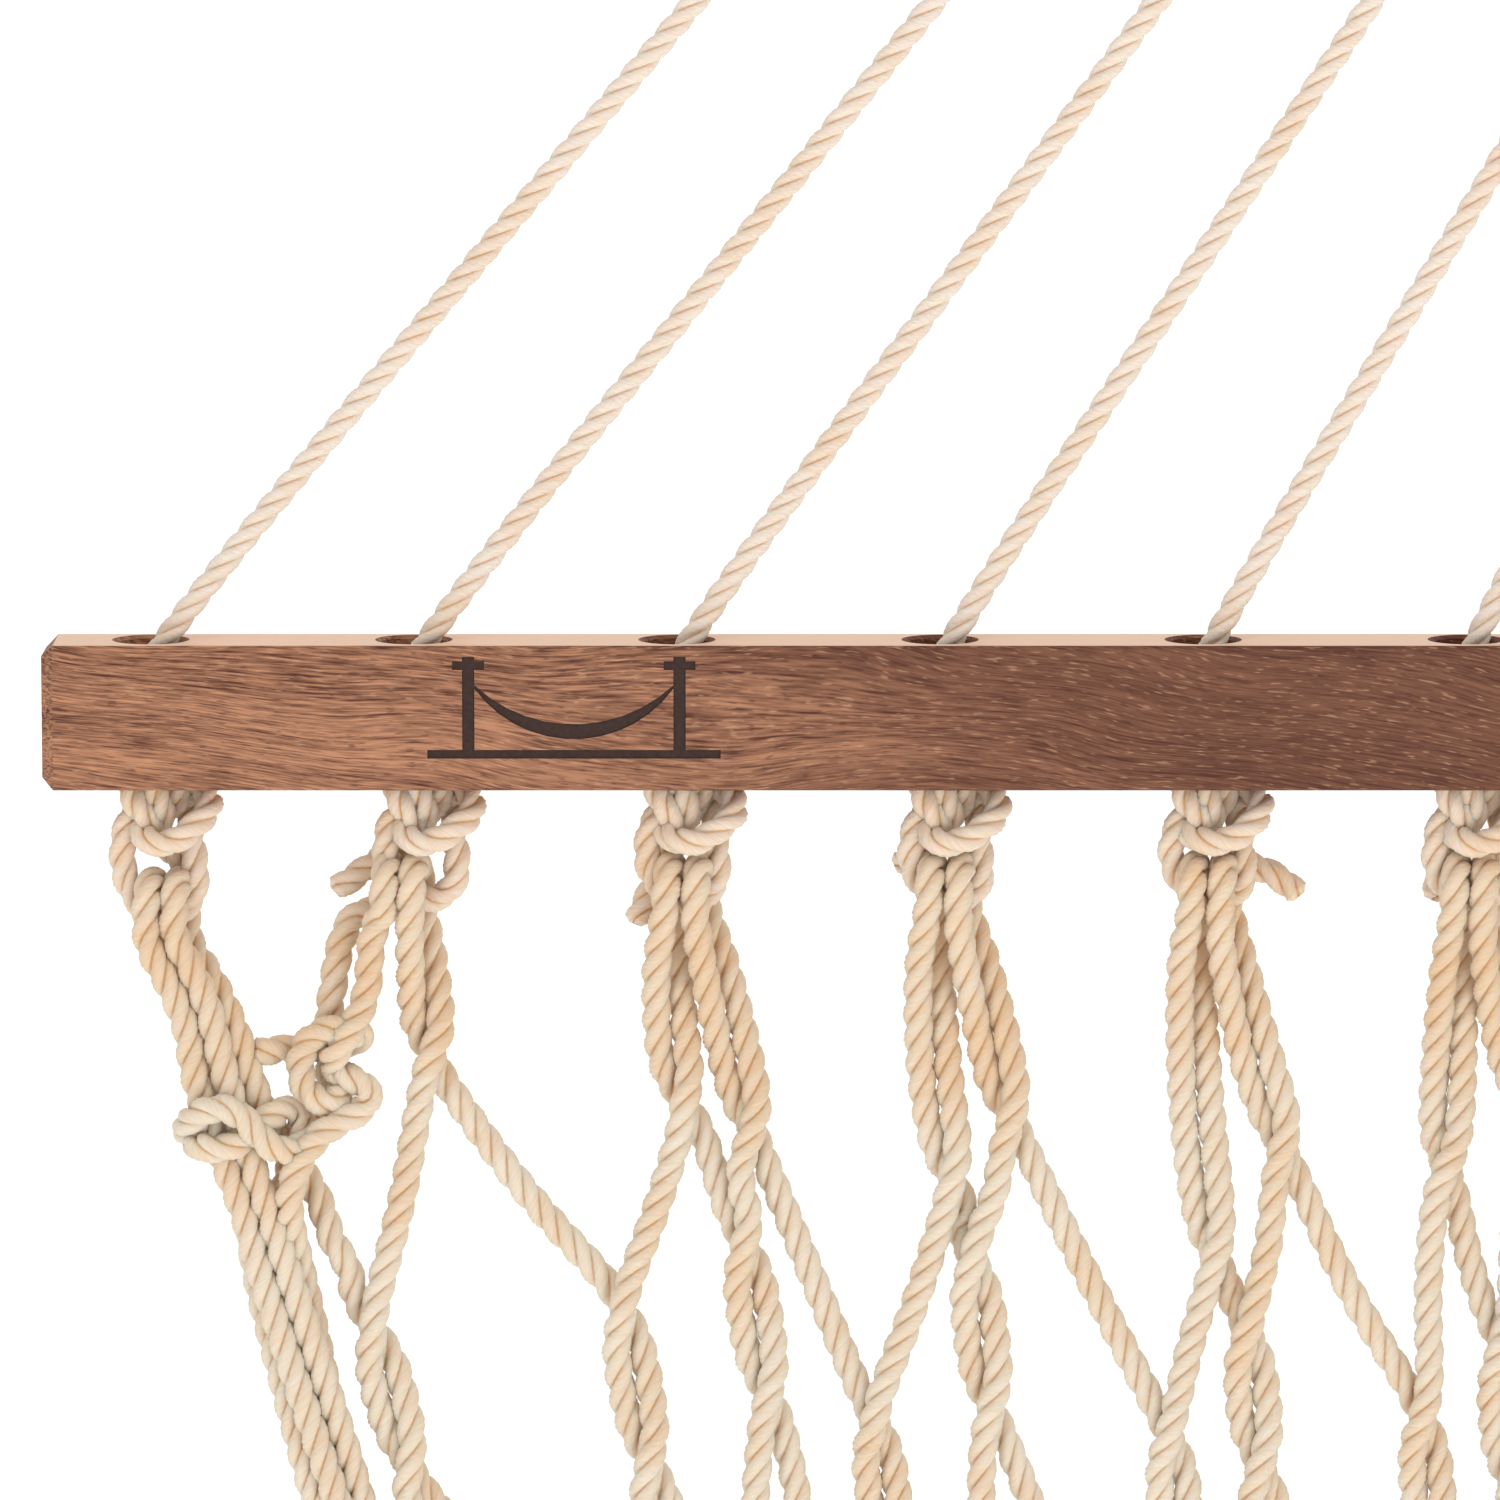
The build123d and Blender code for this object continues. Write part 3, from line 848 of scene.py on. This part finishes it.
# The bundle of five ropes down each side: its radius, the rope wound round it, its turns and its route's steps.
BUNDLE_RADIUS = 5.1
WRAP_RADIUS = 10.4
BUNDLE_TURNS = 5
BUNDLE_STEP = 15.0
BUNDLE_START = 78.0
# Where each rope of the corner lies in the bundle, counted in fifths round it. The fourth leaves it for the net.
BUNDLE_PLACES = {0: 3, 1: 2, 2: 4, 4: 0, 5: 1}
NET_EDGE_ROPE = 3


def edge_place(side, points):
    """Moves points given at the left head corner to the head corner of either side."""
    return [(side * (HALF_SPAN - x), y, depth) for x, y, depth in points]


def from_foot(points):
    return [(x, y, BED_LENGTH - depth) for x, y, depth in reversed(points)]


def bundle_axis(side, depth):
    return lane_x(side * HALF_SPAN, depth) - side * 3.6


def in_bundle(side, fifth):
    """The route of one rope of the bundle, which turns slowly down the side of the net."""
    count = int(round((BED_LENGTH - 2 * BUNDLE_START) / BUNDLE_STEP))
    route = []
    for step in range(count + 1):
        depth = BUNDLE_START + (BED_LENGTH - 2 * BUNDLE_START) * step / count
        angle = tau * (fifth / 5 + BUNDLE_TURNS * step / count) + radians(18)
        breathe = 1 + 0.10 * sin(depth / 37.0 + fifth)
        across, through = cos(angle) * BUNDLE_RADIUS * breathe, sin(angle) * BUNDLE_RADIUS * breathe
        route.append((bundle_axis(side, depth) - side * across, through, depth))
    return route


def round_bundle(side, depth):
    """The turn that the outermost rope of the net takes round the bundle."""
    axis = bundle_axis(side, depth)
    turn = ((12.0, -5.0, -13), (7.0, -9.4, -7), (-4.0, -WRAP_RADIUS, -3), (-WRAP_RADIUS, -4.0, -0.5),
            (-WRAP_RADIUS, 4.0, 2), (-4.0, WRAP_RADIUS, 4), (7.0, 9.4, 8), (12.0, 4.0, 14))
    return [(axis - side * dx, dy, depth + down) for dx, dy, down in turn]


def beside_bundle(side, seed):
    """The outermost rope of the net, from its crossing in the first odd row to the one in the last."""
    column, role = (EDGE_COLUMN, -1) if side < 0 else (4 * (HOLES - 1) - EDGE_COLUMN, 1)
    route = []
    for row in range(1, ROWS):
        if row % 2:
            route += through_crossing(row, column, role, seed)
        else:
            top, bottom = crossing(row, column, seed)
            route += round_bundle(side, (top + bottom) / 2)
    return route


def edge_loop(side, first, second, hang, drop, seed):
    """A rope that is two strands of the selvedge and the bights that join them."""
    strands = []
    for number in (first, second):
        corner = edge_place(side, CORNER[number])
        down = beside_bundle(side, seed) if number == NET_EDGE_ROPE else in_bundle(side, BUNDLE_PLACES[number])
        strands.append(corner + down + from_foot(corner))
    front, rear = strands
    cut = next(i for i, point in enumerate(front) if point[2] > SPLIT_DEPTH)
    head = bight(hang, drop, 1, 1)
    foot = bight(hang, BED_LENGTH - drop, -1, 1)[::-1]
    return front[cut::-1] + head + rear + foot + front[: cut - 1 : -1]


def selvedges():
    material = rope_material("net_cotton", sizes().rope_light, 1.0)
    sections = net_sections()
    lay = sizes().net_lay
    for side, name, outer in ((-1, "left", 1), (1, "right", HOLES)):
        top_bm, long_bm = bmesh.new(), bmesh.new()
        near = side < 0
        hangs = (hang_x(outer, side), hang_x(outer, -side), hang_x(outer - side, side))
        drops = (CORNER_LOOP_DROP, CORNER_LOOP_DROP, 0)
        for pair, hang, drop in zip(((0, 1), (2, 3), (4, 5)), hangs, drops):
            add_loop(top_bm, long_bm, sections, edge_loop(side, *pair, hang, drop, sizes().seed), near)
        for knot in (BUNDLE_KNOT, LEG_KNOT):
            for bm, points in ((top_bm, edge_place(side, knot)), (long_bm, from_foot(edge_place(side, knot)))):
                fine = near and bm is top_bm
                line = smooth_line(net_place(points))
                add_rope(
                    bm, sections[0 if fine else 1], line, 0, distances(line)[-1], lay,
                    FINE_STEPS if fine else PLAIN_STEPS, ends=TAPERED_ENDS,
                )
        nodes = [f"selvedge_{name}_{half}" for half in ("upper", "lower")]
        finish_net(f"edge_{name}", top_bm, long_bm, material, nodes)
    for section in sections:
        drop_object(section)


# ---------------------------------------------------------------- frame parts and stage


def dress(node_name, material):
    node = frame["nodes"][node_name]
    node.data.materials.clear()
    node.data.materials.append(material)


FLOOR_REACH = 120.0
FLOOR_BELOW = 0.15
# Light from all round, and how bright that surround looks.
SURROUND_LIGHT, SURROUND_SEEN = 0.69, 1.0
CAMERA_DISTANCE = 1.96
CAMERA_ELEVATION = 8
CAMERA_LENS = 230
# Name, place from the camera's target, width and power.
LAMPS = (
    ("key", (-1.2, -2.2, 2.0), 2.0, 20.0),
    ("fill", (1.2, -2.4, -0.4), 2.0, 19.0),
    ("back", (0.5, 2.5, 2.2), 2.5, 20.0),
)


def stage():
    bm = bmesh.new()
    bmesh.ops.create_grid(bm, x_segments=1, y_segments=1, size=FLOOR_REACH)
    bmesh.ops.translate(bm, verts=bm.verts, vec=(0, 0, CAD_BOX[0][2] - FLOOR_BELOW))
    mesh = bpy.data.meshes.new("floor")
    bm.to_mesh(mesh)
    bm.free()
    floor = bpy.data.objects.new("floor", mesh)
    bpy.context.scene.collection.objects.link(floor)
    material, _, shader = new_material("pale_floor")
    shader.inputs["Base Color"].default_value = (0.93, 0.93, 0.93, 1)
    shader.inputs["Roughness"].default_value = 1.0
    shader.inputs["Specular IOR Level"].default_value = 0.0
    shader.inputs["Emission Color"].default_value = (1, 1, 1, 1)
    shader.inputs["Emission Strength"].default_value = 0.50
    mesh.materials.append(material)

    world = bpy.data.worlds.new("studio")
    world.use_nodes = True
    sky = world.node_tree.nodes["Background"]
    sky.inputs[0].default_value = (1, 1, 1, 1)
    seen = world.node_tree.nodes.new("ShaderNodeLightPath").outputs["Is Camera Ray"]
    strength = remap(world.node_tree, seen, 0.0, 1.0, SURROUND_LIGHT, SURROUND_SEEN, smooth=False)
    world.node_tree.links.new(strength, sky.inputs[1])
    bpy.context.scene.world = world
    bpy.context.scene.view_settings.view_transform = "Standard"

    target = Vector((hole_x(1) * MM + 0.123, BAR_LOW.y, BAR_HIGH.z - 0.0215))
    elevation = radians(CAMERA_ELEVATION)
    eye = target + Vector((0, -CAMERA_DISTANCE * cos(elevation), CAMERA_DISTANCE * sin(elevation)))
    camera = bpy.data.cameras.new("camera")
    camera.lens = CAMERA_LENS
    camera.sensor_width = 36
    holder = bpy.data.objects.new("camera", camera)
    holder.location = eye
    holder.rotation_euler = (target - eye).to_track_quat("-Z", "Y").to_euler()
    bpy.context.scene.collection.objects.link(holder)
    bpy.context.scene.camera = holder

    for name, offset, width, energy in LAMPS:
        light = bpy.data.lights.new(name, "AREA")
        light.shape = "SQUARE"
        light.size = width
        light.energy = energy
        lamp = bpy.data.objects.new(name, light)
        lamp.location = target + Vector(offset)
        lamp.rotation_euler = (-Vector(offset)).to_track_quat("-Z", "Y").to_euler()
        bpy.context.scene.collection.objects.link(lamp)


class HAMMOCK_OT_stage(bpy.types.Operator):
    """Floor, soft light and camera"""

    bl_idname = "hammock.stage"
    bl_label = "Stage"

    def execute(self, context):
        stage()
        return {"FINISHED"}


class HAMMOCK_OT_bars(bpy.types.Operator):
    """Oiled hardwood for both spreader bars"""

    bl_idname = "hammock.bars"
    bl_label = "Spreader bars"

    def execute(self, context):
        wood = wood_material()
        for name in ("head_bar", "foot_bar"):
            dress(name, wood)
        return {"FINISHED"}


class HAMMOCK_OT_rings(bpy.types.Operator):
    """Zinc plate for both rings"""

    bl_idname = "hammock.rings"
    bl_label = "Rings"

    def execute(self, context):
        steel = steel_material()
        for name in ("head_ring", "foot_ring"):
            dress(name, steel)
        return {"FINISHED"}


class HAMMOCK_OT_clew_ropes(bpy.types.Operator):
    """Doubled ropes from each ring to the bar, with their knots, loops and tails"""

    bl_idname = "hammock.clew_ropes"
    bl_label = "Clew ropes"

    def execute(self, context):
        clew_ropes()
        return {"FINISHED"}


class HAMMOCK_OT_net(bpy.types.Operator):
    """The interlocked ropes of the net, lane by lane"""

    bl_idname = "hammock.net"
    bl_label = "Net"

    def execute(self, context):
        net_lanes()
        return {"FINISHED"}


class HAMMOCK_OT_selvedges(bpy.types.Operator):
    """The bundled ropes down both sides of the net, with their tie knots"""

    bl_idname = "hammock.selvedges"
    bl_label = "Selvedges"

    def execute(self, context):
        selvedges()
        return {"FINISHED"}


STEPS = (
    HAMMOCK_OT_stage,
    HAMMOCK_OT_bars,
    HAMMOCK_OT_rings,
    HAMMOCK_OT_clew_ropes,
    HAMMOCK_OT_net,
    HAMMOCK_OT_selvedges,
)


class HAMMOCK_PT_panel(bpy.types.Panel):
    bl_label = "Rope Hammock"
    bl_space_type = "VIEW_3D"
    bl_region_type = "UI"
    bl_category = "Hammock"

    def draw(self, context):
        for name in HammockSizes.__annotations__:
            self.layout.prop(context.scene.hammock, name)
        for step in STEPS:
            self.layout.operator(step.bl_idname)


CLASSES = (HammockSizes, *STEPS, HAMMOCK_PT_panel)


def register():
    for item in CLASSES:
        bpy.utils.register_class(item)
    bpy.types.Scene.hammock = PointerProperty(type=HammockSizes)


def unregister():
    del bpy.types.Scene.hammock
    for item in reversed(CLASSES):
        bpy.utils.unregister_class(item)


def main():
    register()
    bpy.ops.hammock.stage()
    bpy.ops.hammock.bars()
    bpy.ops.hammock.rings()
    bpy.ops.hammock.clew_ropes()
    bpy.ops.hammock.net()
    bpy.ops.hammock.selvedges()


if __name__ == "__main__":
    main()
